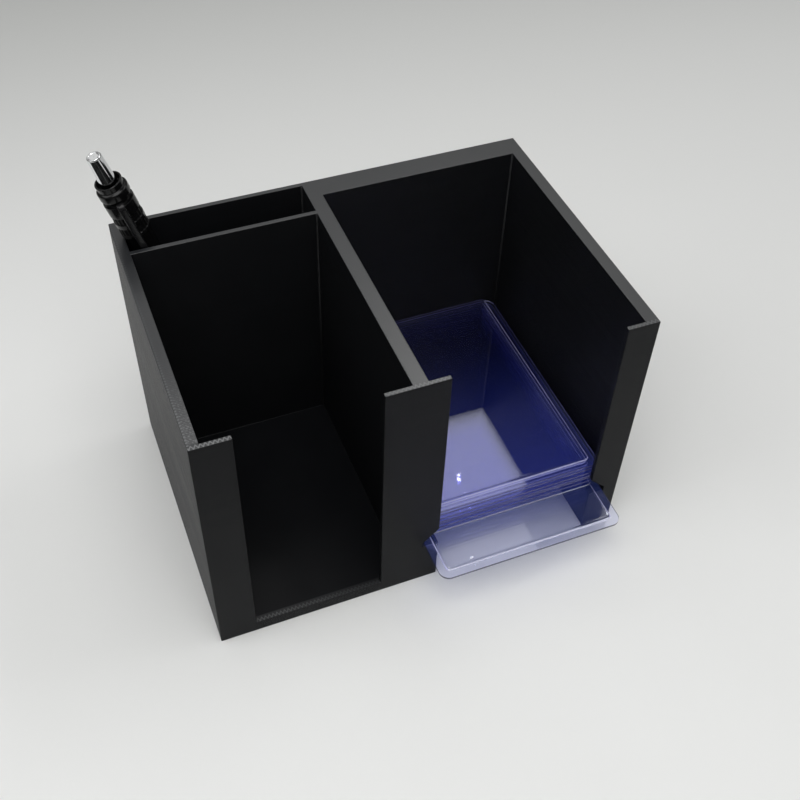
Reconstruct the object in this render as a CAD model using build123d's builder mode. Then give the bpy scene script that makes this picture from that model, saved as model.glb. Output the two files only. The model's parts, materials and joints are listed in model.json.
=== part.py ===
"""Two-bay desk dispenser: soft card sleeves in the left bay, rigid toploaders in the right bay, a pen behind.

Millimetres. The origin is the middle of the printed holder's underside, +X to the right, +Y to the back, +Z up.
The right bay has a raised floor, and its front posts have a slot that lets out the lowest toploader alone.
"""

from build123d import *

import os
from math import cos, pi, radians, sin, tan

# Toploaders: two clear plastic sheets welded along three edges, open at the back end
toploader_width = 76.2
toploader_length = 101.6
sheet = 0.4  # thickness of one sheet
pocket = 1.0  # room between the sheets for a card
weld = 3.0  # width of the welded border
toploader_corner = 4.0
panel_corner = 2.0  # plan rounding of the raised panel at its closed end
toploader_count = 8
stack_gap = 0.1  # air between one toploader and the next
pulled_out = 20.3  # how far the lowest one is drawn forward
lowest_shift = 0.2  # how far the lowest one lies right of the bay's middle
stack_shift = -1.1  # the same for the stack, which lies to the left
stack_skew = 0.35  # how far the stacked ones lie out of line
skew_step_x = 2.4  # radians by which that turns from one to the next
skew_step_y = 1.7

# Printed holder, across
left_wall = 4.0
sleeve_bay_width = 69.8
divider = 5.8
side_play = 1.9  # beside a toploader in its bay
right_wall = 5.0
sleeve_lip = 10.0  # how far the front posts close the left bay on each side
toploader_lip = 7.5  # the same for the right bay

# Printed holder, front to back
lip = 1.9  # thickness of the front posts
front_play = 1.5  # between the posts and the stack
back_play = 1.0  # between the stack and the bay's back wall
bay_back_wall = 10.0
partition = 2.0  # wall between the left bay and the pen slot
pen_slot_depth = 16.1
slot_back_wall = 2.0
finger_depth = 28.0  # cut-out under the lowest toploader

# Printed holder, heights
holder_height = 110.6
sleeve_floor = 5.2
toploader_floor = 20.2
slot_play = 0.9  # beside the lowest toploader in its slot
slot_headroom = 0.5  # above it, at the slot's square ends
slot_roof_angle = 45.0  # from there the roof rises towards the posts' inner edges
outer_round = 0.6  # upright outer corners

# Click pen, which leans in the slot: lengths along its axis and radii about it
pen_lean = 16.0
pen_stand = 0.9  # from the nose's rim to the slot's floor, so that the point can come out
pen_rim_gap = 0.2  # from the barrel to the left wall's top edge
pen_wall_gap = 0.4  # from the clip to the partition
pen_fit = 0.3  # running clearance inside the pen
pen_radius = 5.0
nose_length = 18.0
nose_end_radius = 2.2
nose_middle_radius = 4.3  # half way along, so the flank bulges
nose_seat = 4.0  # where the spring stands inside the nose
grip_length = 46.0
grip_grooves = 9
groove_radius = 0.6
head_rise = 1.35  # from the left wall's top edge up to the barrel's thicker head
head_radius = 5.65
head_foot = 2.0  # from the head's lower end, which tapers, to the lowest recess
recess_count = 2  # recessed bands round the head
recess_length = 3.3
recess_land = 1.9  # between one and the next
recess_depth = 0.35
band_length = 5.0
neck_length = 2.0
neck_radius = 4.4
ring_length = 3.6
ring_radius = 5.7
ring_edge = 0.4  # bevel on the ring's two edges
mouth_length = 2.7
mouth_radius = 5.0
mouth_wall = 0.7
button_show = 11.2
button_radius = 3.2
button_top_radius = 2.7
button_edge = 0.5
cam_length = 13.0
cam_radius = 3.7
cam_ribs = 4
cam_groove = 0.9
refill_radius = 1.5
point_radius = 1.15
point_end_radius = 0.35
point_length = 8.0
point_taper = 2.6
point_recess = 2.0  # from the nose's end to the point, which is drawn in
spring_length = 20.0
spring_turns = 9
spring_wire = 0.5
clip_length = 47.0
clip_width = 2.6
clip_thickness = 1.1
clip_space = 1.5  # between the clip and the barrel
clip_inset = 0.3  # between the clip's root and the neck's shoulders

# Places across and along the holder
toploader_thickness = 2 * sheet + pocket
bay_width = toploader_width + 2 * side_play
holder_width = left_wall + sleeve_bay_width + divider + bay_width + right_wall
holder_depth = lip + front_play + toploader_length + back_play + bay_back_wall
left = -holder_width / 2
front = -holder_depth / 2
back = holder_depth / 2
sleeve_left = left + left_wall
sleeve_right = sleeve_left + sleeve_bay_width
bay_left = sleeve_right + divider
bay_right = bay_left + bay_width
bay_middle = (bay_left + bay_right) / 2
inner_front = front + lip
stack_y = inner_front + front_play + toploader_length / 2
bay_back = back - bay_back_wall
slot_back = back - slot_back_wall
slot_front = slot_back - pen_slot_depth
sleeve_back = slot_front - partition

# The pen's axis: it stands on the slot's floor and leans on the left wall's top edge
lean = radians(pen_lean)
clip_reach = pen_radius + clip_space + clip_thickness
foot_z = sleeve_floor + pen_stand + nose_end_radius * sin(lean)
rim_x = sleeve_left + (pen_radius + pen_rim_gap) / cos(lean)
foot_x = rim_x + (holder_height - foot_z) * tan(lean)
pen_y = slot_front + pen_wall_gap + clip_reach
pen_foot = (foot_x, pen_y, foot_z)
pen_axis = Axis(pen_foot, (-sin(lean), 0, cos(lean)))
pen_plane = Plane(pen_foot, x_dir=(0, -1, 0), z_dir=(-sin(lean), 0, cos(lean)))
pen_section = Plane(pen_foot, x_dir=(0, -1, 0), z_dir=(-cos(lean), 0, -sin(lean)))

# Heights along the pen, from the nose's end
grip_start = nose_length
barrel_start = grip_start + grip_length
recess_pitch = recess_length + recess_land
rim_height = (holder_height - foot_z + pen_radius * sin(lean)) / cos(lean)
head_start = rim_height + head_rise
band_start = head_start + head_foot + recess_pitch * recess_count - recess_land
neck_start = band_start + band_length
barrel_end = neck_start + neck_length
ring_end = barrel_end + ring_length
collar_end = ring_end + mouth_length
cam_top = barrel_end - pen_fit
cam_bottom = cam_top - cam_length
point_back = point_recess + point_length
spring_top = nose_seat + spring_length
spring_radius = refill_radius + pen_fit + spring_wire / 2
spring_outer = spring_radius + spring_wire / 2
chamber_radius = spring_outer + pen_fit
point_bore = point_radius + pen_fit
barrel_bore = cam_radius + pen_fit
collar_bore = button_radius + pen_fit

os.makedirs("parts", exist_ok=True)


def save(piece, name):
    piece.part.label = name
    export_step(piece.part, f"parts/{name}.step")


def rectangle(x0, x1, y0, y1):
    """A rectangle between two pairs of edges, in the sketch that is open."""
    with Locations(((x0 + x1) / 2, (y0 + y1) / 2)):
        Rectangle(x1 - x0, y1 - y0)


def turned(*points):
    """A ring turned about the pen's axis, from an outline of (radius, height) points."""
    with BuildSketch(pen_section) as outline:
        with BuildLine():
            Polyline(*points, close=True)
        make_face()
    revolve(outline.sketch, axis=pen_axis)


# Printed holder
with BuildPart() as holder:
    with BuildSketch() as footprint:
        Rectangle(holder_width, holder_depth)
        fillet(footprint.vertices(), outer_round)
    extrude(amount=holder_height)

    with BuildSketch(Plane.XY.offset(sleeve_floor)):
        rectangle(sleeve_left, sleeve_right, inner_front, sleeve_back)
        rectangle(sleeve_left + sleeve_lip, sleeve_right - sleeve_lip, front, inner_front)
        rectangle(sleeve_left, sleeve_right, slot_front, slot_back)
    extrude(amount=holder_height - sleeve_floor, mode=Mode.SUBTRACT)

    with BuildSketch(Plane.XY.offset(toploader_floor)):
        rectangle(bay_left, bay_right, inner_front, bay_back)
        rectangle(bay_left + toploader_lip, bay_right - toploader_lip, front, inner_front)
    extrude(amount=holder_height - toploader_floor, mode=Mode.SUBTRACT)

    with BuildSketch():
        rectangle(bay_left + toploader_lip, bay_right - toploader_lip, front, front + finger_depth)
    extrude(amount=toploader_floor, mode=Mode.SUBTRACT)

    # The slot: square ends as high as one toploader, then a roof that rises to the posts' inner edges
    slot_half = toploader_width / 2 + slot_play
    gate_half = bay_width / 2 - toploader_lip
    slot_eave = toploader_floor + toploader_thickness + slot_headroom
    slot_ridge = slot_eave + (slot_half - gate_half) * tan(radians(slot_roof_angle))
    with BuildSketch(Plane((bay_middle, inner_front, 0), x_dir=(1, 0, 0), z_dir=(0, -1, 0))):
        with BuildLine():
            Polyline(
                (-slot_half, toploader_floor),
                (slot_half, toploader_floor),
                (slot_half, slot_eave),
                (gate_half, slot_ridge),
                (-gate_half, slot_ridge),
                (-slot_half, slot_eave),
                close=True,
            )
        make_face()
    extrude(amount=lip, mode=Mode.SUBTRACT)
save(holder, "printed_holder")

# Toploaders, from the lowest up: the first is drawn forward through the slot
for number in range(1, toploader_count + 1):
    x = bay_middle + stack_shift + stack_skew * sin(skew_step_x * number)
    y = stack_y + stack_skew * cos(skew_step_y * number)
    if number == 1:
        x = bay_middle + lowest_shift
        y = stack_y - pulled_out
    seat = Plane((x, y, toploader_floor + (number - 1) * (toploader_thickness + stack_gap)))

    with BuildPart() as back_sheet:
        with BuildSketch(seat):
            RectangleRounded(toploader_width, toploader_length, toploader_corner)
        extrude(amount=sheet)
    save(back_sheet, f"toploader_{number}_back_sheet")

    with BuildPart() as front_sheet:
        with BuildSketch(seat.offset(sheet)):
            RectangleRounded(toploader_width, toploader_length, toploader_corner)
        extrude(amount=sheet)
        with BuildSketch(seat.offset(sheet)) as panel:
            with Locations((0, weld / 2)):
                Rectangle(toploader_width - 2 * weld, toploader_length - weld)
            fillet(panel.vertices().group_by(Axis.Y)[0], panel_corner)
        extrude(amount=pocket + sheet)
        with BuildSketch(seat.offset(sheet)):
            RectangleRounded(toploader_width, toploader_length, toploader_corner)
        extrude(amount=pocket + sheet, mode=Mode.INTERSECT)
        with BuildSketch(seat.offset(sheet)) as room:
            with Locations((0, (weld + sheet) / 2)):
                Rectangle(toploader_width - 2 * (weld + sheet), toploader_length - weld - sheet)
            fillet(room.vertices().group_by(Axis.Y)[0], panel_corner - sheet)
        extrude(amount=pocket, mode=Mode.SUBTRACT)
    save(front_sheet, f"toploader_{number}_front_sheet")

# Pen casing, from the nose up
with BuildPart() as nose:
    with BuildSketch(pen_section):
        with BuildLine():
            flank = ThreePointArc(
                (nose_end_radius, 0),
                (nose_middle_radius, nose_length / 2),
                (pen_radius, nose_length),
            )
            Polyline(
                flank @ 1,
                (chamber_radius, nose_length),
                (chamber_radius, nose_seat),
                (point_bore, nose_seat),
                (point_bore, 0),
                flank @ 0,
            )
        make_face()
    revolve(axis=pen_axis)
save(nose, "pen_nose_cone")

with BuildPart() as grip:
    turned(
        (chamber_radius, grip_start),
        (pen_radius, grip_start),
        (pen_radius, barrel_start),
        (chamber_radius, barrel_start),
    )
    groove_pitch = grip_length / (grip_grooves + 1)
    with BuildSketch(pen_section):
        with Locations(*[(pen_radius, grip_start + groove_pitch * (i + 1)) for i in range(grip_grooves)]):
            Circle(groove_radius)
    revolve(axis=pen_axis, mode=Mode.SUBTRACT)
save(grip, "pen_grip")

with BuildPart() as barrel:
    turned(
        (barrel_bore, barrel_start),
        (pen_radius, barrel_start),
        (pen_radius, head_start),
        (head_radius, head_start + head_radius - pen_radius),
        (head_radius, neck_start),
        (neck_radius, neck_start),
        (neck_radius, barrel_end),
        (barrel_bore, barrel_end),
    )
    recess_middle = band_start - recess_length / 2
    with BuildSketch(pen_section):
        with Locations(*[(head_radius, recess_middle - recess_pitch * i) for i in range(recess_count)]):
            Rectangle(2 * recess_depth, recess_length)
    revolve(axis=pen_axis, mode=Mode.SUBTRACT)
save(barrel, "pen_barrel")

with BuildPart() as collar:
    turned(
        (collar_bore, barrel_end),
        (ring_radius - ring_edge, barrel_end),
        (ring_radius, barrel_end + ring_edge),
        (ring_radius, ring_end - ring_edge),
        (ring_radius - ring_edge, ring_end),
        (mouth_radius, ring_end),
        (mouth_radius, collar_end),
        (mouth_radius - mouth_wall, collar_end),
        (mouth_radius - mouth_wall, ring_end),
        (collar_bore, ring_end),
    )
save(collar, "pen_collar")

clip_bottom = barrel_end - clip_length
clip_inner = clip_reach - clip_thickness
bead_radius = clip_space - pen_fit / 2
with BuildPart() as clip:
    with BuildSketch(pen_section):
        with BuildLine():
            Polyline(
                (barrel_bore, barrel_end - clip_inset),
                (clip_reach, barrel_end - clip_inset),
                (clip_reach, clip_bottom),
                (clip_inner, clip_bottom),
                (clip_inner, neck_start + clip_inset),
                (barrel_bore, neck_start + clip_inset),
                close=True,
            )
        make_face()
        with Locations((clip_inner, clip_bottom + bead_radius)):
            Circle(bead_radius)
    extrude(amount=clip_width / 2, both=True)
    with BuildSketch(pen_plane.offset(neck_start)):
        Circle(neck_radius)
    extrude(amount=neck_length, mode=Mode.SUBTRACT)
save(clip, "pen_clip")

# What moves when the pen is clicked: button, cam, refill and point
with BuildPart() as button:
    button_top = collar_end + button_show
    turned(
        (0, cam_top),
        (button_radius, cam_top),
        (button_radius, collar_end),
        (button_top_radius, button_top - button_edge),
        (button_top_radius - button_edge, button_top),
        (0, button_top),
    )
save(button, "pen_button")

with BuildPart() as cam:
    with BuildSketch(pen_plane.offset(cam_bottom)):
        Circle(cam_radius)
        with PolarLocations(cam_radius, cam_ribs):
            Rectangle(cam_groove, cam_groove, mode=Mode.SUBTRACT)
    extrude(amount=cam_length)
save(cam, "pen_cam")

with BuildPart() as refill:
    turned(
        (0, point_back),
        (refill_radius, point_back),
        (refill_radius, spring_top),
        (spring_outer, spring_top),
        (spring_outer, spring_top + spring_wire),
        (refill_radius, spring_top + spring_wire),
        (refill_radius, cam_bottom),
        (0, cam_bottom),
    )
save(refill, "pen_refill")

with BuildPart() as point:
    turned(
        (0, point_recess),
        (point_end_radius, point_recess),
        (point_radius, point_recess + point_taper),
        (point_radius, point_back),
        (0, point_back),
    )
save(point, "pen_point")

# Return spring, between the seat in the nose and the refill's flange
coil_height = spring_length - spring_wire
coil_foot = pen_axis.position + pen_axis.direction * (nose_seat + spring_wire / 2)
with BuildPart() as spring:
    with BuildLine():
        coil = Helix(
            pitch=coil_height / spring_turns,
            height=coil_height,
            radius=spring_radius,
            center=coil_foot,
            direction=pen_axis.direction,
        )
    with BuildSketch(Plane(coil @ 0, z_dir=coil % 0)):
        Circle(spring_wire / 2)
    sweep(is_frenet=True)
save(spring, "pen_spring")

wire_length = spring_turns * ((2 * pi * spring_radius) ** 2 + (coil_height / spring_turns) ** 2) ** 0.5
print("holder", round(holder_width, 1), round(holder_depth, 1), holder_height)
print("spring volume", round(spring.part.volume, 2), "wire", round(wire_length * pi * spring_wire**2 / 4, 2))
print("pen foot", [round(v, 2) for v in pen_foot], "pen length", round(collar_end + button_show, 1))
print("barrel from", barrel_start, "to", round(barrel_end, 2), "head from", round(head_start, 2))
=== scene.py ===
# %% [markdown]
# # A desk dispenser for card sleeves and toploaders
#
# The object is a black box, printed in one piece. Its left bay is empty and takes soft card sleeves, its right bay
# holds a stack of clear rigid toploaders and lets out the lowest one, and a click pen leans in a slot at the back.
#
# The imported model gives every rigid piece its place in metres. It could be rebuilt here by eye, but then nothing
# would line up with the joints, so the first step loads it and the later steps only dress it.

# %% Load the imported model
import json
from math import pi, radians, sin, sqrt

import bmesh
import bpy
import numpy as np
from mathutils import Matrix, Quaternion, Vector


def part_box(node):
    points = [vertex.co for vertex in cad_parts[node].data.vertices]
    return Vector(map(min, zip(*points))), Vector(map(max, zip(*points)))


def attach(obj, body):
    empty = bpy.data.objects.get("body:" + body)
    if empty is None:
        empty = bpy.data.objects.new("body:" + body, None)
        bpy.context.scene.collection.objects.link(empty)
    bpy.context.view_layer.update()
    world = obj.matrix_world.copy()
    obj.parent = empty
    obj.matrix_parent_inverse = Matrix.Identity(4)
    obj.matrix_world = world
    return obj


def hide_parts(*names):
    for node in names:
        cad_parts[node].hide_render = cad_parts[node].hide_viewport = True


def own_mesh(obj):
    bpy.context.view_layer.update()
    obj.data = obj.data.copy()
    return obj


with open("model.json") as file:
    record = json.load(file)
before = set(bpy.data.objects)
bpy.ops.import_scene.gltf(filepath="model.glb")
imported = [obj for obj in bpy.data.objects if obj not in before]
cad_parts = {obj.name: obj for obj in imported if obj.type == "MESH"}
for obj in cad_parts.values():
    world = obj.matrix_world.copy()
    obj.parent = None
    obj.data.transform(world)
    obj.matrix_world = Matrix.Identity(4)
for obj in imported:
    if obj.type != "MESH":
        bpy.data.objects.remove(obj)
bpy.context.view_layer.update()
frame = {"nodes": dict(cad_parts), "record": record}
mm = 0.001

# %% [markdown]
# ## Camera
#
# The photograph looks down from the front left, with the camera turned a little about its own line of sight. Camera
# constraints could aim it, but a place, a target, a roll and a lens say the same in four numbers that can be checked.
# Light that passes through the stack crosses some thirty surfaces, so the paths are allowed to be long.

# %% Camera
eye = Vector((-107.689, -275.843, 364.590)) * mm
target = Vector((11.262, -0.922, 40.0)) * mm
roll = radians(2.216)

scene = bpy.context.scene
scene.view_settings.view_transform = "Standard"
scene.cycles.max_bounces = 48
scene.cycles.transmission_bounces = 48
scene.cycles.transparent_max_bounces = 48

lens = bpy.data.cameras.new("photo_view")
lens.sensor_width = 36.0
lens.lens = 49.339
camera = bpy.data.objects.new("photo_view", lens)
camera.location = eye
camera.rotation_mode = "QUATERNION"
camera.rotation_quaternion = (target - eye).to_track_quat("-Z", "Y") @ Quaternion((0, 0, 1), roll)
scene.collection.objects.link(camera)
scene.camera = camera
print("camera stands", round((target - eye).length / mm), "mm from its target")

# %% [markdown]
# ## Writing shaders as sums
#
# A finish is a small piece of arithmetic: a wave of the height, times a mask, plus a little noise. Laid out by hand
# that takes dozens of Math nodes. The class below holds one socket and lets Python's own operators add those nodes,
# so that a finish reads like its formula. Every other node comes from its one method, `node`.


# %% A socket that can be reckoned with
class Wire:
    """One output socket of a shader tree; arithmetic on it adds a Math node for each operator."""

    def __init__(self, tree, socket=None):
        self.tree = tree
        self.socket = socket

    def node(self, kind, settings=None, sockets=None, output=0):
        """Adds a node: its settings first, then the values or wires of its sockets. Gives one of its outputs."""
        made = self.tree.nodes.new("ShaderNode" + kind)
        for name, value in (settings or {}).items():
            setattr(made, name, value)
        for name, value in (sockets or {}).items():
            if isinstance(value, Wire):
                self.tree.links.new(value.socket, made.inputs[name])
            else:
                made.inputs[name].default_value = value
        return Wire(self.tree, made.outputs[output])

    def sum(self, operation, a, b=0.0):
        return self.node("Math", {"operation": operation}, {0: a, 1: b})

    def __add__(self, other):
        return self.sum("ADD", self, other)

    def __radd__(self, other):
        return self.sum("ADD", other, self)

    def __sub__(self, other):
        return self.sum("SUBTRACT", self, other)

    def __rsub__(self, other):
        return self.sum("SUBTRACT", other, self)

    def __mul__(self, other):
        return self.sum("MULTIPLY", self, other)

    def __rmul__(self, other):
        return self.sum("MULTIPLY", other, self)

    def __abs__(self):
        return self.sum("ABSOLUTE", self)

    def sine(self):
        return self.sum("SINE", self)

    def ramp(self, start, end):
        """Rises smoothly from 0 at start to 1 at end."""
        limits = {"Value": self, "From Min": start, "From Max": end}
        return self.node("MapRange", {"interpolation_type": "SMOOTHSTEP"}, limits)

    def mix(self, first, second):
        """A colour from first, where this is 0, to second, where it is 1."""
        return self.node("Mix", {"data_type": "RGBA"}, {0: self, 6: colour(first), 7: colour(second)}, 2)

    def parts(self):
        """The three components of a vector."""
        return [self.node("SeparateXYZ", None, {0: self}, axis) for axis in range(3)]

    def noise(self, place, scale, detail=2.0):
        """Cloudy values around one half; scale counts the clouds in a metre."""
        return self.node("TexNoise", None, {"Vector": place, "Scale": scale, "Detail": detail})

    def stretched(self, place, across):
        """The same place counted faster or slower along each axis, which makes streaks of clouds."""
        return self.node("VectorMath", {"operation": "MULTIPLY"}, {0: place, 1: across})


def colour(value):
    """A colour with its alpha, or a wire as it is."""
    return value if isinstance(value, Wire) else (*value, 1.0)


class Finish:
    """A material whose Principled shader takes constants at once and wires by name."""

    def __init__(self, name, **constants):
        self.material = bpy.data.materials.new(name)
        self.material.use_nodes = True
        self.tree = self.material.node_tree
        self.shader = self.tree.nodes["Principled BSDF"]
        self.start = Wire(self.tree)
        self.place = self.start.node("TexCoord", output="Object")
        self.set(**constants)

    def set(self, **sockets):
        for name, value in sockets.items():
            socket = self.shader.inputs[name.replace("_", " ").title().replace("Ior", "IOR")]
            if isinstance(value, Wire):
                self.tree.links.new(value.socket, socket)
            else:
                socket.default_value = colour(value) if isinstance(value, tuple) else value

    def bump(self, height, depth):
        """Raises the surface by up to depth where the height is 1."""
        self.set(normal=self.start.node("Bump", None, {"Height": height, "Distance": depth}))


print("finishes are written as sums of wires")

# %% [markdown]
# ## From arrays to pieces
#
# Each new piece is a grid of points that numpy works out at once, in metres and in its final place. A grid may close
# on itself in either direction, as a tube does. One function turns such a grid into quads, and one puts points and
# quads into a mesh, merges what coincides at seams and poles, and hands the piece to the body that carries it.


# %% Grids, meshes and pieces
def grid_quads(rows, columns, rows_close=False, columns_close=False):
    """Quads between neighbours of a grid whose points are numbered row by row."""
    last_row = rows if rows_close else rows - 1
    last_column = columns if columns_close else columns - 1
    row, column = np.meshgrid(np.arange(last_row), np.arange(last_column), indexing="ij")
    next_row, next_column = (row + 1) % rows, (column + 1) % columns
    corners = [row * columns + column, row * columns + next_column]
    corners += [next_row * columns + next_column, next_row * columns + column]
    return np.stack(corners, axis=-1).reshape(-1, 4)


def add_piece(name, points, quads, body, nodes, slot, finish, others=(), marks=None):
    """A closed mesh in its final place, smooth but for creases; marks number the quads that take another finish."""
    mesh = bpy.data.meshes.new(name)
    mesh.from_pydata(np.reshape(points, (-1, 3)).tolist(), [], quads.tolist())
    work = bmesh.new()
    work.from_mesh(mesh)
    bmesh.ops.remove_doubles(work, verts=work.verts, dist=0.0005 * mm)
    bmesh.ops.recalc_face_normals(work, faces=work.faces)
    work.to_mesh(mesh)
    work.free()
    mesh.polygons.foreach_set("use_smooth", np.ones(len(mesh.polygons), bool))
    mesh.set_sharp_from_angle(angle=radians(35))
    for each in (finish, *others):
        mesh.materials.append(each.material)
    if marks is not None:
        mesh.polygons.foreach_set("material_index", marks)
    piece = bpy.data.objects.new(name, mesh)
    scene.collection.objects.link(piece)
    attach(piece, body)
    if nodes:
        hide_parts(*nodes)
    print(name, "has", len(mesh.polygons), "faces")
    return piece


# %% [markdown]
# ## Black print
#
# The box is printed in black plastic, layer on layer. Upright walls show the layers as fine level lines, and some
# layers shine a little more than their neighbours. Level faces show the slanted lines that the nozzle drew to and
# fro, each second one paler, inside two lines that follow the edge. The front posts are too thin for that, so
# their tops carry one zigzag line, and the top of the left wall is rougher and has a row of dots along its outer
# edge, where each line turns back. Level faces are painted lighter than the upright walls, a painted sheen, and their
# lines on the left wall's top and along the front edge are painted paler still, most towards the front: a painted
# highlight. An image texture could hold this, but waves of the object's own coordinates stay sharp at any distance
# and follow the box's real layer height. Only the lines along the edges need more: how far each point is from the
# four sides of its face. The mesh carries that as an attribute named to_edge. The last layer is ironed by the
# nozzle, so it has a thin glossy coat.

# %% Black print
layer_height = 0.2 * mm
line_width = 0.42 * mm
zigzag_period, zigzag_depth, dot_period = 1.5 * mm, 1.9 * mm, 1.25 * mm
holder_low, holder_high = map(np.array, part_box("printed_holder"))

print_black = Finish("black_print", specular_ior_level=0.10, coat_roughness=0.34)
start = print_black.start
x, y, z = print_black.place.parts()
facing = start.node("NewGeometry", output="Normal").parts()[2]
level = abs(facing).ramp(0.6, 0.8)
front_strip = 1 - y.ramp(holder_low[1] + 2.2 * mm, holder_low[1] + 2.8 * mm)
last_layer = z.ramp(holder_high[2] - 0.4 * mm, holder_high[2] - 0.1 * mm)
skin = level * start.sum("MAXIMUM", last_layer, front_strip * 0.4)

layers = abs((z * (pi / layer_height)).sine())
banding = start.noise(start.stretched(print_black.place, (6.0, 6.0, 900.0)), 1.0, 4.0)
cloud = start.noise(print_black.place, 60.0, 4.0)
print("last layer at", round(holder_high[2] / mm, 1), "mm")

# %% Lines of the level faces
to_edge = {"attribute_type": "GEOMETRY", "attribute_name": "to_edge"}
sides = start.node("Attribute", to_edge, output="Color").parts() + [start.node("Attribute", to_edge, output="Alpha")]
near = start.sum("MINIMUM", start.sum("MINIMUM", sides[0], sides[1]), start.sum("MINIMUM", sides[2], sides[3]))
rim = 1 - near.ramp(2.0 * line_width / mm, 2.2 * line_width / mm)
slant = (x + y) * (pi / line_width / sqrt(2))
filling = abs(slant.sine()) * 0.5 + slant.sine() * 0.25 + 0.25
rings = abs((near * (pi * mm / line_width)).sine())
# The next masks mark a rougher hatch, and also where the lines are painted paler: a painted highlight on the left
# wall's top, strongest at its front, and along the front edge, most at the left.
left_top = 1 - x.ramp(holder_low[0] + 4.5 * mm, holder_low[0] + 6 * mm)
painted_light_towards_front = 1 - y.ramp(-55 * mm, -10 * mm)
left_post = 1 - x.ramp(-60 * mm, -30 * mm)
coarse_and_painted_highlight = start.sum("MAXIMUM", left_top * painted_light_towards_front, front_strip * (0.5 + 0.5 * left_post))
swing = abs(start.sum("FRACT", x * (1 / zigzag_period)) - 0.5) * 2
zigzag = 1 - abs((y - holder_low[1]) * (1 / zigzag_depth) - 0.15 - 0.7 * swing).ramp(0.10, 0.30)
lines = (filling * (1 - rim) + rings * rim) * (1 - front_strip) + zigzag * front_strip
grain = start.noise(print_black.place, 1400.0, 2.0).ramp(0.45, 0.65)
speckle = start.sum("MAXIMUM", grain, front_strip)
outer_edge = 1 - x.ramp(holder_low[0] + 0.8 * mm, holder_low[0] + 1.0 * mm)
dots = outer_edge * (y * (2 * pi / dot_period)).sine().ramp(0.1, 0.7)
hatch = start.sum("MAXIMUM", lines * (0.3 + coarse_and_painted_highlight * (0.1 + 0.9 * speckle)), dots)
print("zigzag every", zigzag_period / mm, "mm, dots every", dot_period / mm, "mm")

# %% Black print, put together
shade = banding * 0.5 * (1 - level) + hatch * 0.6 * level + cloud * 0.4
walls = shade.mix((0.0036, 0.0039, 0.0047), (0.0110, 0.0115, 0.0130))
# Painted sheen: level faces take a lighter colour than the walls, and their lines a paler one still where the painted
# highlight falls.
line_tone_and_painted_highlight = coarse_and_painted_highlight.mix((0.046, 0.048, 0.052), (0.125, 0.127, 0.130))
tops = (hatch * 0.85 + cloud * 0.15).mix((0.008, 0.0088, 0.010), line_tone_and_painted_highlight)
print_black.set(
    base_color=skin.mix(walls, tops),
    roughness=0.30 + 0.20 * banding * (1 - level) + 0.06 * lines * level,
    coat_weight=skin,
)
print_black.bump(layers * (1 - level) + hatch * 0.4 * level, 0.03 * mm)
print("layers", layer_height / mm, "mm high, lines", line_width / mm, "mm wide")

# %% [markdown]
# ## The printed holder
#
# The holder is all straight walls, so its mesh can be a box of cells cut by every wall's planes, in which some cells
# are plastic and the rest are air. Wherever plastic meets air there is one quad. That gives clean quads without
# booleans, and a Bevel then rounds the real edges alone, as a nozzle does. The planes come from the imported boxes:
# the holder's own node and the openings in the record, which stop one tenth of a millimetre short of each wall.

# %% Planes of the holder
short = 0.1 * mm
room = {o["name"]: np.array(o["box_m"]) for o in frame["record"]["physics"]["openings"]}
sleeve, sleeve_gate, bay, gate, finger, pen_slot = (
    room[name] + [[-short], [short]]
    for name in ("sleeve_bay", "sleeve_gate", "toploader_bay", "toploader_gate", "finger_cut_out", "pen_slot")
)
lowest_low, lowest_high = map(np.array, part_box("toploader_1_front_sheet"))
slot_play = 0.9 * mm
slot_headroom = 0.5 * mm
bay_middle = (bay[0, 0] + bay[1, 0]) / 2
slot_half = (lowest_high[0] - lowest_low[0]) / 2 + slot_play
gate_half = (gate[1, 0] - gate[0, 0]) / 2
slot_eave = lowest_high[2] + slot_headroom
slot_ridge = slot_eave + slot_half - gate_half
print("slot", round(2 * slot_half / mm, 1), "mm wide, its roof up to", round(slot_ridge / mm, 1), "mm")

# %% Cells of plastic and air
planes_x = np.array(
    [holder_low[0], sleeve[0, 0], sleeve_gate[0, 0], sleeve_gate[1, 0], sleeve[1, 0], bay[0, 0]]
    + [bay_middle - slot_half, gate[0, 0], gate[1, 0], bay_middle + slot_half, bay[1, 0], holder_high[0]]
)
planes_y = np.array(
    [holder_low[1], sleeve[0, 1], finger[1, 1], sleeve[1, 1], pen_slot[0, 1], bay[1, 1], pen_slot[1, 1], holder_high[1]]
)
planes_z = np.array([0.0, sleeve[0, 2], finger[1, 2], slot_eave, holder_high[2]])
plastic = np.ones((len(planes_x) - 1, len(planes_y) - 1, len(planes_z) - 1), bool)
plastic[1:4, 1:3, 1:] = False
plastic[2:3, 0, 1:] = False
plastic[1:4, 4:6, 1:] = False
plastic[5:10, 1:5, 2:] = False
plastic[7:8, 0:2, :] = False
plastic[6:9, 0, 2:3] = False


def boundary_quads(cells):
    """One quad wherever a cell of plastic meets air, turned so that it faces the air, for each axis in turn."""
    count = np.array(cells.shape) + 1
    unit = np.eye(3, dtype=int)
    quads = []
    for axis in range(3):
        padded = np.pad(cells, [(int(a == axis),) * 2 for a in range(3)]).astype(int)
        step = -np.diff(padded, axis=axis)
        corner = np.argwhere(step != 0)
        one, two = unit[(axis + 1) % 3], unit[(axis + 2) % 3]
        ring = np.stack([corner, corner + one, corner + one + two, corner + two], axis=1)
        flat = np.ravel_multi_index(np.moveaxis(ring, -1, 0), count)
        inward = step[tuple(corner.T)] < 0
        flat[inward] = flat[inward][:, ::-1]
        quads.append(flat)
    return np.concatenate(quads)


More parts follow.
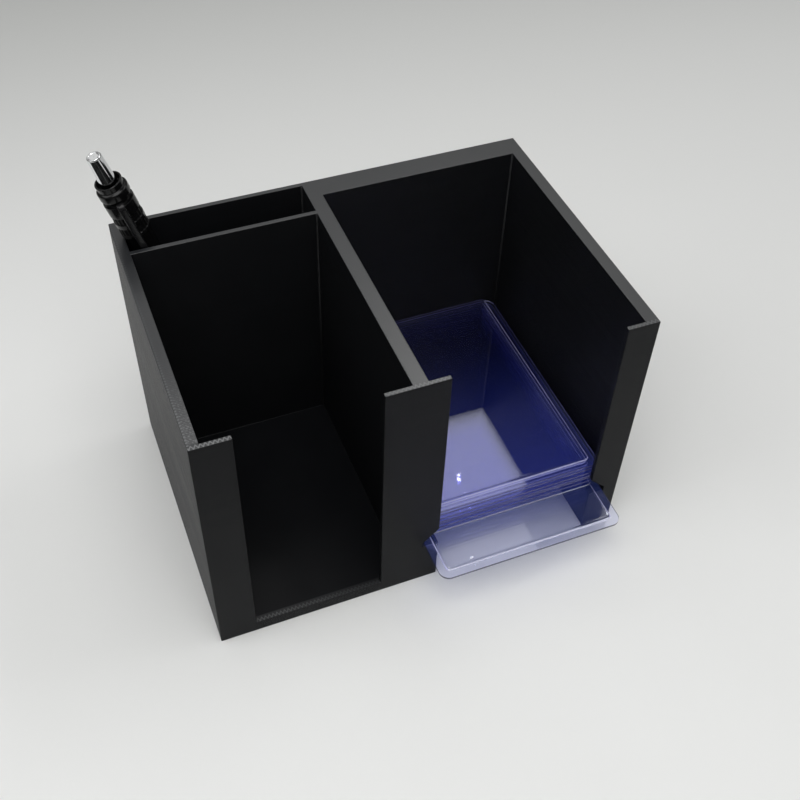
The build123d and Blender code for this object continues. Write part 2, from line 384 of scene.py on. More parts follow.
points = np.stack(np.meshgrid(planes_x, planes_y, planes_z, indexing="ij"), axis=-1)
points[7:9, 0:2, 3, 2] = slot_ridge
cell_quads = boundary_quads(plastic)
used, quads = np.unique(cell_quads, return_inverse=True)
holder = add_piece(
    "holder_print",
    points.reshape(-1, 3)[used],
    quads.reshape(-1, 4),
    "holder",
    ["printed_holder"],
    "black_print",
    print_black,
)


# %% Distances to the sides of each level face
def run_ends(mask, axis):
    """For each cell of a mask, the first and last cell of the unbroken run that it lies in along an axis."""
    number = np.indices(mask.shape)[axis]
    ahead = np.pad(mask, [(1, 1) if a == axis else (0, 0) for a in range(mask.ndim)])
    count = mask.shape[axis]
    begins = mask & ~ahead.take(np.arange(count), axis)
    stops = mask & ~ahead.take(np.arange(count) + 2, axis)
    first = np.maximum.accumulate(np.where(begins, number, 0), axis)
    last = np.flip(np.minimum.accumulate(np.flip(np.where(stops, number, count), axis), axis), axis)
    return first, last


open_above = plastic & ~np.pad(plastic, [(0, 0), (0, 0), (0, 1)])[:, :, 1:]
corners = np.stack(np.unravel_index(cell_quads, points.shape[:3]), axis=-1)
level_up = (np.ptp(corners[:, :, 2], axis=1) == 0) & (corners[:, 0, 2] > 0)
cells = np.minimum(corners.min(axis=1), np.array(plastic.shape) - 1)
cells[:, 2] = np.maximum(corners[:, 0, 2] - 1, 0)
to_edge = np.full((len(corners), 4, 4), 99.0)
for axis, planes in ((0, planes_x), (1, planes_y)):
    first, last = (ends[tuple(cells.T)] for ends in run_ends(open_above, axis))
    place = planes[corners[:, :, axis]]
    low_side = place - planes[np.minimum(first, len(planes) - 1)][:, None]
    high_side = planes[np.minimum(last + 1, len(planes) - 1)][:, None] - place
    to_edge[level_up, :, 2 * axis] = low_side[level_up] / mm
    to_edge[level_up, :, 2 * axis + 1] = high_side[level_up] / mm
layer = holder.data.attributes.new("to_edge", "FLOAT_COLOR", "CORNER")
layer.data.foreach_set("color", to_edge.ravel())
print(int(level_up.sum()), "level faces know their sides")

# %% Round the holder's edges
rounding = holder.modifiers.new("rounding", "BEVEL")
rounding.width = 0.3 * mm
rounding.segments = 2
rounding.limit_method = "ANGLE"
rounding.angle_limit = radians(30)
rounding.harden_normals = True
print("edges rounded by", round(rounding.width / mm, 2), "mm")

# %% [markdown]
# ## Seams of the print
#
# The nozzle starts every layer of a wall at the same place, in an inner corner, and leaves a bead there. The beads
# show as thin pale lines up the far corners of the bays. A bead is a half round profile carried up the corner, whose
# radius changes a little from layer to layer. The ends of the strands are matt, and the bead is painted paler than
# the wall, partly for that matt finish and partly as a painted sheen. High up it is palest; towards the floor it fades
# to the wall's dark, a painted shade deep in the bays.

# %% Seam beads
bead_rows = 300


def seam_bead(corner_x, corner_y, bottom, top):
    """A half round rib up an inner corner: radius times cosine and sine of the turn, the radius wavering by height."""
    height = np.linspace(bottom, top, bead_rows)[:, None]
    radius = (0.50 + 0.07 * np.sin(height / (0.9 * mm)) * np.sin(height / (7.3 * mm))) * mm
    turn = np.linspace(radians(175), radians(275), 9)[None, :]
    inner = np.stack([corner_x + radius * np.cos(turn), corner_y + radius * np.sin(turn), height + 0 * turn], axis=-1)
    spine = np.stack([corner_x + 0.2 * mm + 0 * height, corner_y + 0.2 * mm + 0 * height, height], axis=-1)
    return np.concatenate([inner, spine], axis=1), grid_quads(bead_rows, 10, False, True)


seam = Finish("black_print_seam", specular_ior_level=0.15)
blobs = seam.start.noise(seam.place, 1500.0, 2.0)
# Painted shade: the bead is paler only high up and fades to the wall's dark towards each floor.
painted_light_high_up = seam.place.parts()[2].ramp(35 * mm, 85 * mm)
paler = (blobs * painted_light_high_up).mix((0.006, 0.0062, 0.0066), (0.050, 0.051, 0.053))
seam.set(base_color=paler, roughness=0.45 + 0.2 * blobs)
seam.bump(blobs, 0.05 * mm)
corners = ((sleeve, sleeve[0, 2]), (bay, finger[1, 2]), (pen_slot, pen_slot[0, 2]))
for number, (box, floor_z) in enumerate(corners, 1):
    points, quads = seam_bead(box[1, 0], box[1, 1], floor_z, holder_high[2] - 0.3 * mm)
    ends = np.array([[0, 1, 2, 9], [2, 3, 4, 9], [4, 5, 6, 9], [6, 7, 8, 9]])
    quads = np.concatenate([quads, ends[:, ::-1], ends + (bead_rows - 1) * 10])
    add_piece(f"seam_bead_{number}", points, quads, "holder", [], "black_print", seam)

# %% [markdown]
# ## Clear sheet
#
# A toploader is rigid clear plastic with a faint blue tint that deepens as they pile up. Volume absorption would be
# the textbook way, but the export drops it, so the tint sits on the surfaces. Glass also blocks the lamps in Cycles,
# and a stack would stand in its own black shadow: on shadow rays the shader turns to plain tinted transparency.
# Handling leaves fine scratches and dust, which show in the roughness. The plastic holds a blue brightener, so a
# dark place behind the stack looks deep blue, not black: a faint blue sheen on every surface adds up to that. A
# faint blue emission is painted light: it is strongest at the sheets' front ends, where more light reaches the stack,
# and fades to the back.
#
# Cut edges are dull and dark, and the slopes between them are milky. The bends are painted pale, a painted highlight
# along each bend. The lowest toploader lies out in the light, so it takes a lit copy of the clear finish, paler and
# with a stronger painted emission, and its edge is painted darker, a painted shade.

# %% Clear sheet
def clear_plastic(name, tint, clarity, roughness, dullness, painted_glow):
    """Tinted glass, scratched and dusty, with a faint emission painted on that fades from the front, which turns to
    tinted transparency for shadow rays.
    """
    finish = Finish(name, base_color=tint, transmission_weight=clarity, ior=1.53, emission_strength=1.0)
    finish.set(sheen_weight=0.003, sheen_roughness=1.0, sheen_tint=(0.09, 0.14, 1.0))
    start = finish.start
    # Painted light: a faint blue emission, strongest at the front ends of the sheets and fading to the back.
    painted_light_towards_front = 1 - finish.place.parts()[1].ramp(-62 * mm, 35 * mm)
    finish.set(emission_color=painted_light_towards_front.mix((0.0, 0.0, 0.0), (0.13 * painted_glow, 0.22 * painted_glow, painted_glow)))
    scratch = start.noise(start.stretched(finish.place, (90.0, 2600.0, 90.0)), 1.0, 3.0).ramp(0.62, 0.8)
    dust = start.noise(finish.place, 1500.0, 1.0).ramp(0.80, 0.84)
    finish.set(roughness=roughness + dullness * scratch + 3 * dullness * dust)
    finish.bump(start.noise(finish.place, 30.0, 0.0), 0.04 * mm)
    shadow = start.node("LightPath", output="Is Shadow Ray")
    through = start.node("BsdfTransparent", None, {"Color": colour((0.858, 0.866, 0.912))})
    surface = Wire(finish.tree, finish.shader.outputs[0])
    both = start.node("MixShader", None, {0: shadow, 1: surface, 2: through})
    finish.tree.links.new(both.socket, finish.tree.nodes["Material Output"].inputs["Surface"])
    return finish


clear = clear_plastic("clear_sheet", (0.893, 0.898, 0.987), 1.0, 0.010, 0.02, 0.0034)
# A lit copy of the clear finish for the lowest toploader: paler, with a stronger painted emission, as painted light.
painted_lit_clear = clear_plastic("clear_sheet_pale", (0.950, 0.954, 1.0), 1.0, 0.010, 0.02, 0.013)
cut_edge = clear_plastic("clear_sheet_edge", (0.14, 0.135, 0.32), 0.35, 0.25, 0.10, 0.009)
# Painted shade: the lowest toploader's cut edge is painted darker than the stack's.
painted_shade_edge = clear_plastic("clear_sheet_dark_edge", (0.04, 0.04, 0.09), 0.30, 0.25, 0.10, 0.0045)
# Painted highlight: the bends are painted pale; this finish also rims toploader 2 and takes the lowest one's end
# slopes.
bend_painted_highlight = clear_plastic("clear_sheet_bend", (0.86, 0.87, 1.0), 0.45, 0.20, 0.05, 0.008)
slope = clear_plastic("clear_sheet_slope", (0.70, 0.70, 1.0), 0.42, 0.15, 0.05, 0.009)
print("clear sheet, and duller finishes for its cut edges, bends and slopes")

# %% [markdown]
# ## Toploaders
#
# Each toploader is two sheets welded along three edges. The back sheet is flat. The front sheet is drawn up over a
# block, so a panel stands above the welded border and stays open at the end where a card goes in. Both are one
# surface: a grid of distances across and along the sheet, close together over the border, with the corner squares
# bent into quarter discs, and a height that climbs smoothly from the border to the panel. A second copy of the grid,
# one thickness lower, and a rim close the shell.

# %% A formed sheet
weld = 3.0 * mm
climb = 0.9 * mm
corner = 4.0 * mm
panel_corner = 2.0 * mm
sheet_thickness = 0.4 * mm
weld_gap = 0.02 * mm


def stations(length):
    """Distances across a sheet: close together over the border at both ends, wide apart between them."""
    border = np.concatenate([np.linspace(0, weld, 7), np.linspace(weld, weld + climb, 9)[1:], [corner + 0.6 * mm]])
    middle = np.linspace(border[-1], length - border[-1], 14)[1:-1]
    return np.concatenate([border, middle, (length - border)[::-1]]) - length / 2


def round_corners(across, along, width, length):
    """Bends each corner square into a quarter disc: a goes to a times the root of 1 minus b squared over 2."""
    a = np.clip((np.abs(across) - width / 2) / corner + 1, 0, 1)
    b = np.clip((np.abs(along) - length / 2) / corner + 1, 0, 1)
    across = across - np.sign(across) * corner * a * (1 - np.sqrt(1 - b * b / 2))
    along = along - np.sign(along) * corner * b * (1 - np.sqrt(1 - a * a / 2))
    return across, along


def climb_from_border(across, along, width, length):
    """0 on the border and 1 on the panel, by a smooth step of the distance from the panel's rounded outline."""
    side = width / 2 - np.abs(across) - weld
    end = along + length / 2 - weld
    nook = panel_corner - np.hypot(np.maximum(panel_corner - side, 0), np.maximum(panel_corner - end, 0))
    inside = np.clip(np.minimum(nook, np.minimum(side, end)) / climb, 0, 1)
    return inside * inside * (3 - 2 * inside)


def sheet_shell(low, high, rise, sag):
    """Upper and lower face of a sheet in its box, and the quads of both faces and of the rim that joins them."""
    width, length = high[0] - low[0], high[1] - low[1]
    along, across = np.meshgrid(stations(length), stations(width), indexing="ij")
    lift = climb_from_border(across, along, width, length)
    bow = (1 - (2 * across / width) ** 2) * (1 - (2 * along / length) ** 2)
    bent_x, bent_y = round_corners(across, along, width, length)
    lower = low[2] + rise * lift - sag * bow * lift
    place_x, place_y = bent_x + (low[0] + high[0]) / 2, bent_y + (low[1] + high[1]) / 2
    faces = [np.stack([place_x, place_y, lower + up], axis=-1).reshape(-1, 3) for up in (sheet_thickness, 0.0)]
    rows, columns = across.shape
    index = np.arange(rows * columns).reshape(rows, columns)
    rim = np.concatenate([index[0, :-1], index[:-1, -1], index[-1, :0:-1], index[:0:-1, 0]])
    after = np.roll(rim, -1)
    flat = grid_quads(rows, columns)
    below = rows * columns
    wall = np.stack([rim, rim + below, after + below, after], axis=-1)
    mean_lift, to_side, to_end = (
        np.ravel(value)[flat].mean(axis=1) for value in (lift, width / 2 - np.abs(across), along + length / 2)
    )
    foot = (mean_lift > 0.005) & (mean_lift < 0.33) & bool(rise)
    on_slope = np.where(foot, np.where(to_end < to_side, 2, 3), 0)
    marks = np.concatenate([on_slope, on_slope, np.ones(len(wall))]).astype(int)
    return np.concatenate(faces), np.concatenate([flat, flat[:, ::-1] + below, wall]), marks


print("a sheet has", len(stations(lowest_high[1] - lowest_low[1])), "stations along it")

# %% The stack
for number in range(1, 9):
    body, slot = f"toploader_{number}", "clear_sheet"
    # Toploader 1 takes the lit copy and the painted shade edge; the bend's painted highlight rims toploader 2.
    sheet = painted_lit_clear if number == 1 else clear
    rim_finish = {1: painted_shade_edge, 2: bend_painted_highlight}.get(number, cut_edge)
    foot_finish = bend_painted_highlight if number == 1 else slope

    low, high = map(np.array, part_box(f"toploader_{number}_front_sheet"))
    rise = high[2] - low[2] - sheet_thickness - weld_gap
    low[2] += weld_gap
    sag = (0.10 + 0.04 * sin(1.9 * number)) * mm
    points, quads, marks = sheet_shell(low, high, rise, sag)
    others = (rim_finish, foot_finish, slope)
    nodes = [f"toploader_{number}_front_sheet"]
    add_piece(f"formed_sheet_{number}", points, quads, body, nodes, slot, sheet, others, marks)

    low, high = map(np.array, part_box(f"toploader_{number}_back_sheet"))
    points, quads, marks = sheet_shell(low, high, 0.0, 0.0)
    nodes = [f"toploader_{number}_back_sheet"]
    add_piece(f"flat_sheet_{number}", points, quads, body, nodes, slot, sheet, (rim_finish,), marks)

# %% [markdown]
# ## The pen's finishes
#
# The pen's casing is glossy black plastic with a black lacquered clip, and its button is chromed. Black gloss is
# mostly what it reflects, so the finish needs a slight unevenness more than it needs colour. The bands between the
# teeth of its head lie in their own shade; they are duller, and painted darker as a painted shade. Chrome is a
# metal with fine wiping marks round it.

# %% Gloss black, lacquer and chrome
gloss = Finish("pen_black", specular_ior_level=0.25)
cloud = gloss.start.noise(gloss.place, 500.0, 3.0)
gloss.set(base_color=cloud.mix((0.0020, 0.0020, 0.0022), (0.0045, 0.0045, 0.0050)), roughness=0.08 + 0.12 * cloud)
gloss.bump(cloud, 0.01 * mm)

# Painted shade: the toothed bands are painted darker than the casing.
recess_painted_shade = Finish("pen_black_recess", specular_ior_level=0.1)
cloud = recess_painted_shade.start.noise(recess_painted_shade.place, 900.0, 2.0)
recess_painted_shade.set(base_color=cloud.mix((0.0010, 0.0010, 0.0012), (0.003, 0.003, 0.0034)), roughness=0.4 + 0.2 * cloud)

lacquer = Finish("pen_black_metal", specular_ior_level=0.25)
cloud = lacquer.start.noise(lacquer.place, 900.0, 2.0)
lacquer.set(base_color=cloud.mix((0.004, 0.004, 0.0045), (0.009, 0.009, 0.010)), roughness=0.16 + 0.14 * cloud)

chrome = Finish("pen_chrome", metallic=1.0)
wipe = chrome.start.noise(chrome.start.stretched(chrome.place, (300.0, 300.0, 4000.0)), 1.0, 2.0)
chrome.set(base_color=wipe.mix((0.70, 0.71, 0.72), (0.82, 0.83, 0.84)), roughness=0.04 + 0.08 * wipe)
print("four finishes for the casing")

# %% [markdown]
# ## The pen's casing
#
# The pen leans, so its pieces are worked out along its own axis. The grip and the cam are the same at both ends, so
# the middles of their boxes lie on that axis and give it. A turned piece is an outline of radius and height carried
# round the axis; its corners are eased first, because no moulded edge is sharp. The barrel widens to a head with two
# toothed bands and narrows to a neck, on which the collar sits. A boolean could cut the teeth, but here they are only
# a dip of the radius that depends on the turn.

# %% The pen's axis and turned pieces
grip_middle = sum(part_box("pen_grip"), Vector()) / 2
cam_middle = sum(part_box("pen_cam"), Vector()) / 2
up_pen = (cam_middle - grip_middle).normalized()
to_clip = Vector((0, -1, 0))
aside = up_pen.cross(to_clip)
nose_length, grip_length, barrel_length = 18.0 * mm, 46.0 * mm, 64.34 * mm
nose_end = grip_middle - up_pen * (nose_length + grip_length / 2)


def on_pen(forward, sideways, height):
    """Points at distances from the pen's axis, towards the clip and aside, and at a height along it."""
    return (
        np.array(nose_end)
        + np.multiply.outer(forward, np.array(to_clip))
        + np.multiply.outer(sideways, np.array(aside))
        + np.multiply.outer(height, np.array(up_pen))
    )


def eased(outline, cut, steps=5):
    """Rounds each corner of a closed outline with a quadratic curve between points a cut away on its two sides."""
    here = np.array(outline, float)
    to_last, to_next = np.roll(here, 1, axis=0) - here, np.roll(here, -1, axis=0) - here
    reach_last = np.minimum(cut, np.linalg.norm(to_last, axis=1) * 0.45)[:, None]
    reach_next = np.minimum(cut, np.linalg.norm(to_next, axis=1) * 0.45)[:, None]
    first = here + to_last / np.linalg.norm(to_last, axis=1)[:, None] * reach_last
    last = here + to_next / np.linalg.norm(to_next, axis=1)[:, None] * reach_next
    t = np.linspace(0, 1, steps)[None, :, None]
    curve = (1 - t) ** 2 * first[:, None] + 2 * t * (1 - t) * here[:, None] + t**2 * last[:, None]
    return curve.reshape(-1, 2)


def turned(outline, steps=120, dip=None):
    """An outline carried round the pen's axis: its radius, less a dip, times cosine and sine of the turn."""
    radius, height = np.maximum(outline[:, 0], 0.0)[:, None], outline[:, 1][:, None]
    turn = np.linspace(0, 2 * pi, steps, endpoint=False)[None, :]
    if dip:
        radius = radius - dip(turn, height)
    points = on_pen(radius * np.cos(turn), radius * np.sin(turn), height + 0 * turn)
    return points, grid_quads(len(outline), steps, True, True)


print("the pen leans", round(np.degrees(up_pen.angle(Vector((0, 0, 1)))), 1), "degrees")

# %% Nose and grip
grip_start, barrel_start = nose_length, nose_length + grip_length
barrel_end = barrel_start + barrel_length
pen_radius, chamber_radius, point_bore, barrel_bore = 5.0 * mm, 2.6 * mm, 1.45 * mm, 4.0 * mm

rim_radius, bulge, spring_seat = 2.2 * mm, 0.7 * mm, 4.0 * mm
flank = np.linspace(0, 1, 14)
nose_radius = rim_radius + (pen_radius - rim_radius) * flank + 4 * bulge * flank * (1 - flank)
nose = np.concatenate(
    [
        np.stack([nose_radius, flank * nose_length], axis=-1),
        [[chamber_radius, nose_length], [chamber_radius, spring_seat], [point_bore, spring_seat], [point_bore, 0]],
    ]
)
add_piece("nose_turned", *turned(eased(nose, 0.2 * mm)), "pen", ["pen_nose_cone"], "pen_black", gloss)

height = np.linspace(grip_start, barrel_start, 201)
groove_pitch, groove_depth, plain_end = grip_length / 10, 0.5 * mm, 2 * mm
groove = (np.cos(2 * pi * (height - grip_start) / groove_pitch) + 1) / 2
grooved = (height > grip_start + plain_end) & (height < barrel_start - plain_end)
grip = np.stack([pen_radius - groove_depth * groove**4 * grooved, height], -1)
grip = np.concatenate([grip, [[chamber_radius, barrel_start], [chamber_radius, grip_start]]])
add_piece("grip_turned", *turned(grip), "pen", ["pen_grip"], "pen_black", gloss)

# %% Head of the barrel
neck_start, band_start, head_start = barrel_end - 2.0 * mm, barrel_end - 7.0 * mm, barrel_end - 17.5 * mm
neck_radius, head_radius = 4.4 * mm, 5.65 * mm
recess_length, recess_land, recess_depth, teeth = 3.3 * mm, 1.9 * mm, 0.35 * mm, 22
head_rows, head_columns = 110, 12 * teeth


def toothed_recess(turn, height):
    """Two bands cut to a depth that a cosine of the turn eases between upright teeth, with sloped ends."""
    between_teeth = 0.45 + 0.55 * (1 + np.cos(turn * teeth)) / 2
    depth = 0
    for number in range(2):
        middle = band_start - recess_length / 2 - number * (recess_length + recess_land)
        inside = (recess_length / 2 - np.abs(height - middle)) / recess_depth
        depth = np.maximum(depth, np.clip(inside, 0, 1) * recess_depth)
    return depth * between_teeth


shaft = np.linspace(head_start + 1.2 * mm, band_start + 0.4 * mm, head_rows)
barrel = [[barrel_bore, barrel_start], [pen_radius, barrel_start], [pen_radius, head_start]]
barrel += [[head_radius, head_start + head_radius - pen_radius], [head_radius, neck_start], [neck_radius, neck_start]]
barrel += [[neck_radius, barrel_end], [barrel_bore, barrel_end]]
barrel = eased(barrel, 0.15 * mm)
up_to_head = 4 * 5
on_head = np.stack([np.full(head_rows, head_radius), shaft], -1)
barrel = np.concatenate([barrel[:up_to_head], on_head, barrel[up_to_head:]])
points, quads = turned(barrel, head_columns, toothed_recess)
# The quads of the bands take the painted shade finish.
cut_in = (toothed_recess(pi / teeth, barrel[:, 1]) > 0.1 * recess_depth) & (barrel[:, 0] > barrel_bore)
marks = np.repeat(cut_in & np.roll(cut_in, -1), head_columns).astype(int)
add_piece("barrel_turned", points, quads, "pen", ["pen_barrel"], "pen_black", gloss, (recess_painted_shade,), marks)

# %% Collar and button
ring_end, collar_end = barrel_end + 3.6 * mm, barrel_end + 6.3 * mm
ring_radius, ring_cut, ring_bore = 5.7 * mm, 0.4 * mm, 3.5 * mm
mouth_radius, mouth_foot, mouth_bore, mouth_floor = 5.0 * mm, 4.75 * mm, 4.3 * mm, 4.2 * mm
collar = [[ring_bore, barrel_end], [ring_radius - ring_cut, barrel_end], [ring_radius, barrel_end + ring_cut]]
collar += [[ring_radius, ring_end - ring_cut], [ring_radius - ring_cut, ring_end], [mouth_foot, ring_end + 0.3 * mm]]
collar += [[mouth_radius, collar_end], [mouth_bore, collar_end], [mouth_floor, ring_end], [ring_bore, ring_end]]
add_piece("collar_turned", *turned(eased(collar, 0.25 * mm)), "pen", ["pen_collar"], "pen_black", gloss)

button_foot, button_top = barrel_end - 0.3 * mm, collar_end + 11.2 * mm
button_radius, top_radius, rim_outer, rim_inner, dish_radius = 3.2 * mm, 2.7 * mm, 2.4 * mm, 1.95 * mm, 1.75 * mm
button = [[0, button_foot], [button_radius, button_foot], [button_radius, collar_end]]
button += [[top_radius, button_top - 0.5 * mm], [rim_outer, button_top], [rim_inner, button_top]]
button += [[dish_radius, button_top - 0.35 * mm], [0, button_top - 0.25 * mm]]
add_piece("button_turned", *turned(eased(button, 0.22 * mm)), "pen_plunger", ["pen_button"], "pen_chrome", chrome)

# %% [markdown]
# ## The clip
#
# The clip is one strip of lacquered metal: out of the neck, round a bend, and down along the barrel to a bead that
# grips a pocket. Its section, a rectangle with soft corners, is carried along that path. The bead is only the inner
# side of the section swelling near the end.

# %% Clip
clip_root, clip_reach, clip_thickness, clip_width = 4.6 * mm, 7.6 * mm, 1.1 * mm, 2.6 * mm
clip_end = barrel_end - 47 * mm
shoulder = barrel_end - 0.3 * mm - clip_thickness
bend, tip_length = 1.4 * mm, 1.2 * mm
bead_place, bead_half, bead_depth = 2.2 * mm, 1.7 * mm, 1.15 * mm
ring = 24
centre = clip_reach - clip_thickness / 2
t = np.linspace(0, pi / 2, 9)
path = np.concatenate(
    [
        np.stack([np.linspace(clip_root, centre - bend, 5), np.full(5, shoulder + clip_thickness / 2)], -1)[:-1],
        np.stack([centre - bend + bend * np.sin(t), shoulder + clip_thickness / 2 - bend + bend * np.cos(t)], -1),
        np.stack([np.full(60, centre), np.linspace(shoulder + clip_thickness / 2 - bend, clip_end, 61)[1:]], -1),
    ]
)
heading = np.gradient(path, axis=0)
heading /= np.linalg.norm(heading, axis=1)[:, None]
outward = np.stack([-heading[:, 1], heading[:, 0]], -1)
from_end = (path[:, 1] - clip_end)[:, None]
narrowing = np.clip(from_end / tip_length, 0, 1)
tip = np.sqrt(narrowing * (2 - narrowing))
swell = np.sqrt(np.clip(1 - ((from_end - bead_place) / bead_half) ** 2, 0, 1)) * bead_depth
turn = np.linspace(0, 2 * pi, ring, endpoint=False)[None, :]


def soft(value):
    """The root of a value with its sign, which squares a circle's cosine and sine to a soft rectangle."""
    return np.sign(value) * np.sqrt(np.abs(value))


print("the clip follows", len(path), "stations")

# %% The clip's rings
sideways = clip_width / 2 * soft(np.cos(turn)) * tip
thick = clip_thickness / 2 * soft(np.sin(turn)) * tip - swell * np.clip(-np.sin(turn), 0, 1)
forward = path[:, :1] + outward[:, :1] * thick
height = path[:, 1:] + outward[:, 1:] * thick
forward, sideways, height = (
    np.concatenate([np.full((1, ring), middle), rings])
    for middle, rings in ((path[0, 0], forward), (0.0, sideways), (path[0, 1], height))
)
quads = grid_quads(len(path) + 1, ring, False, True)
points = on_pen(forward, sideways, height)
add_piece("clip_strip", points, quads, "pen", ["pen_clip"], "pen_black_metal", lacquer)

# %% [markdown]
# ## Inside the pen
#
# The cam, refill and point are hidden until the pen is taken apart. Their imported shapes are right, so they stay, and
# only get finishes: white moulding and brass. The return spring is packed as a rigid coil, but a real one shortens
# when the button is pressed. A bone could shorten it.

# %% Finishes for the inner pieces
moulded = Finish("pen_white")
cloud = moulded.start.noise(moulded.place, 700.0, 3.0)
moulded.set(base_color=cloud.mix((0.74, 0.74, 0.72), (0.84, 0.84, 0.82)), roughness=0.35 + 0.2 * cloud)
brass = Finish("pen_brass", metallic=1.0)
cloud = brass.start.noise(brass.place, 1500.0, 3.0)
brass.set(base_color=cloud.mix((0.58, 0.40, 0.16), (0.76, 0.56, 0.26)), roughness=0.2 + 0.2 * cloud)
steel = Finish("pen_steel", metallic=1.0)
cloud = steel.start.noise(steel.place, 1800.0, 3.0)
steel.set(base_color=cloud.mix((0.42, 0.43, 0.45), (0.62, 0.63, 0.65)), roughness=0.2 + 0.2 * cloud)
for node, finish in (("pen_cam", moulded), ("pen_refill", moulded), ("pen_point", brass)):
    mesh = frame["nodes"][node].data
    mesh.materials.clear()
    mesh.materials.append(finish.material)
    print(node, "takes", finish.material.name)


# %% Return spring
spring_length, spring_turns = 20.0 * mm, 9
coil_radius, wire_radius = 2.05 * mm, 0.25 * mm


def coil():
    """A circle carried along a helix: the turn's radial direction and the one square to it and to the wire."""
    turn = np.linspace(0, 2 * pi * spring_turns, 24 * spring_turns + 1)
    turn = np.concatenate([turn[:1], turn, turn[-1:]])[:, None]
    thick = np.full_like(turn, wire_radius)
    thick[[0, -1]] = 0.0
    round_wire = np.linspace(0, 2 * pi, 12, endpoint=False)[None, :]
    coil_height = spring_length - 2 * wire_radius
    lean = np.arctan2(coil_height, 2 * pi * spring_turns * coil_radius)
    out, up = thick * np.cos(round_wire), thick * np.sin(round_wire)
    forward = (coil_radius + out) * np.cos(turn) + up * np.sin(lean) * np.sin(turn)
    sideways = (coil_radius + out) * np.sin(turn) - up * np.sin(lean) * np.cos(turn)
    height = spring_seat + wire_radius + coil_height * turn / (2 * pi * spring_turns) + up * np.cos(lean)
    return on_pen(forward, sideways, height), grid_quads(len(turn), 12, False, True)


spring = add_piece("spring_coil", *coil(), "pen", ["pen_spring"], "pen_steel", steel)
tuple(nose_end + up_pen * spring_seat)
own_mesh(spring)

# %% [markdown]
# ## Floor and light
#
# The box stands on a pale matt table under a wide bright ceiling. The table is painted darker towards the back of the
# room, a painted shade for the light that falls off there. A pale world gives the ceiling. Clear plastic and chrome
# are mostly what they reflect, so the world also has three bright places, as windows and fittings would make: two lie
# where the sheets mirror them, and make the bright patch on the stack, and one where the button's end mirrors it. Four
# large soft lamps keep the shadow soft on every side, one more lights the printed box alone, for the sheen along its
# top edges, and two tiny ones make the glints on the sheets. An environment image could do all this, but it would be
# one more file.

# %% Floor
table = Finish("pale_table", roughness=0.55)
cloud = table.start.noise(table.place, 3.0, 3.0)
# Painted shade: the table's colour darkens towards the back, where less light falls.
far = table.place.parts()[1].ramp(0.10, 0.75)
near_tone = cloud.mix((0.79, 0.795, 0.785), (0.84, 0.845, 0.835))
table.set(base_color=far.mix(near_tone, (0.44, 0.45, 0.435)))
reach = 4.0
corners = np.array([[-reach, -reach, 0], [reach, -reach, 0], [reach, reach, 0], [-reach, reach, 0]])
mesh = bpy.data.meshes.new("table")
mesh.from_pydata((corners - [0, 0, 0.02 * mm]).tolist(), [], [[0, 1, 2, 3]])
mesh.materials.append(table.material)
floor = bpy.data.objects.new("table", mesh)
scene.collection.objects.link(floor)
print("table", 2 * reach, "m across")


# %% Light
def lamp(name, place, size, power, only=None):
    """A square soft lamp that looks at the box; it may light one piece only."""
    light = bpy.data.lights.new(name, "AREA")
    light.size = size
    light.energy = power
    stand = bpy.data.objects.new(name, light)
    stand.location = place
    stand.rotation_euler = (Vector((0, 0, 0.04)) - Vector(place)).to_track_quat("-Z", "Y").to_euler()
    scene.collection.objects.link(stand)
    if only:
        lit = bpy.data.collections.new(name + "_lights")
        lit.objects.link(only)
        stand.light_linking.receiver_collection = lit


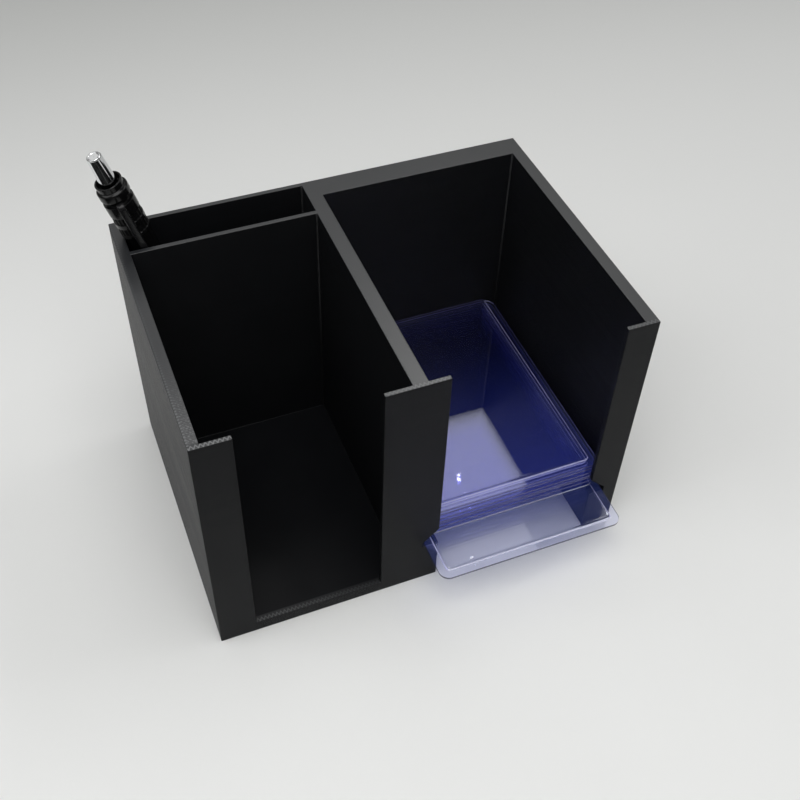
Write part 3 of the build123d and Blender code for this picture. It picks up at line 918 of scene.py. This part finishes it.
world = bpy.data.worlds.new("ceiling")
world.use_nodes = True
sky = Wire(world.node_tree)
way = sky.node("TexCoord", output="Generated")
strength = 0.22
for centre, outer, inner, gain in (
    ((0.299, 0.613, 0.731), 0.988, 0.9955, 0.10),
    ((0.330, 0.500, 0.800), 0.940, 0.985, 0.46),
    ((-0.245, 0.821, 0.515), 0.985, 0.9930, 0.55),
):
    centre = Vector(centre).normalized()
    towards = sky.node("VectorMath", {"operation": "DOT_PRODUCT"}, {0: way, 1: centre}, "Value")
    strength = strength + gain * towards.ramp(outer, inner)
background = world.node_tree.nodes["Background"]
background.inputs["Color"].default_value = (1.0, 1.0, 0.985, 1.0)
world.node_tree.links.new(strength.socket, background.inputs["Strength"])
scene.world = world
lamp("key", (0.85, 0.05, 1.0), 0.7, 2.8)
lamp("front", (-0.12, -0.28, 0.75), 0.6, 3.6)
lamp("left", (-0.9, 0.1, 0.9), 0.7, 3.1)
lamp("back", (0.0, 1.0, 1.2), 0.7, 1.0)
lamp("tops", (0.60, 1.0, 1.50), 0.15, 2.7, holder)
lamp("glint_a", (0.595, 1.017, 1.514), 0.006, 0.0012)
lamp("glint_b", (0.569, 0.879, 1.599), 0.007, 0.005)
print("a ceiling with three bright places, five soft lamps and two glints")

# %% [markdown]
# ## A black card
#
# Chrome on a pale table turns pale all over, and looks like paper. Photographers stand a black card beside it, which
# gives it a dark core between two bright sides. This card is a strip bent round the pen's left and front, closer on
# the left. It is stage, and only reflections see it: it casts no shadow and stays out of the picture.

# %% A black card for the chrome
card_black = Finish("card_black", base_color=(0.01, 0.01, 0.01), roughness=0.9)
card_start, card_end, card_columns, card_height = 188, 300, 34, 100 * mm
pen_x, pen_y = -75 * mm, 48 * mm
turn, height = np.meshgrid(np.linspace(card_start, card_end, card_columns), [0.0, card_height], indexing="ij")
reach = 100 * mm + 130 * mm * np.clip((turn - card_start) / 90, 0, 1) ** 2
turn = np.radians(turn)
points = np.stack([pen_x + reach * np.cos(turn), pen_y + reach * np.sin(turn), height], axis=-1)
mesh = bpy.data.meshes.new("black_card")
mesh.from_pydata(points.reshape(-1, 3).tolist(), [], grid_quads(card_columns, 2).tolist())
mesh.materials.append(card_black.material)
card = bpy.data.objects.new("black_card", mesh)
scene.collection.objects.link(card)
card.visible_camera = card.visible_diffuse = card.visible_shadow = card.visible_transmission = False
print("the card stands up to", round(reach.max() / mm), "mm from the pen")
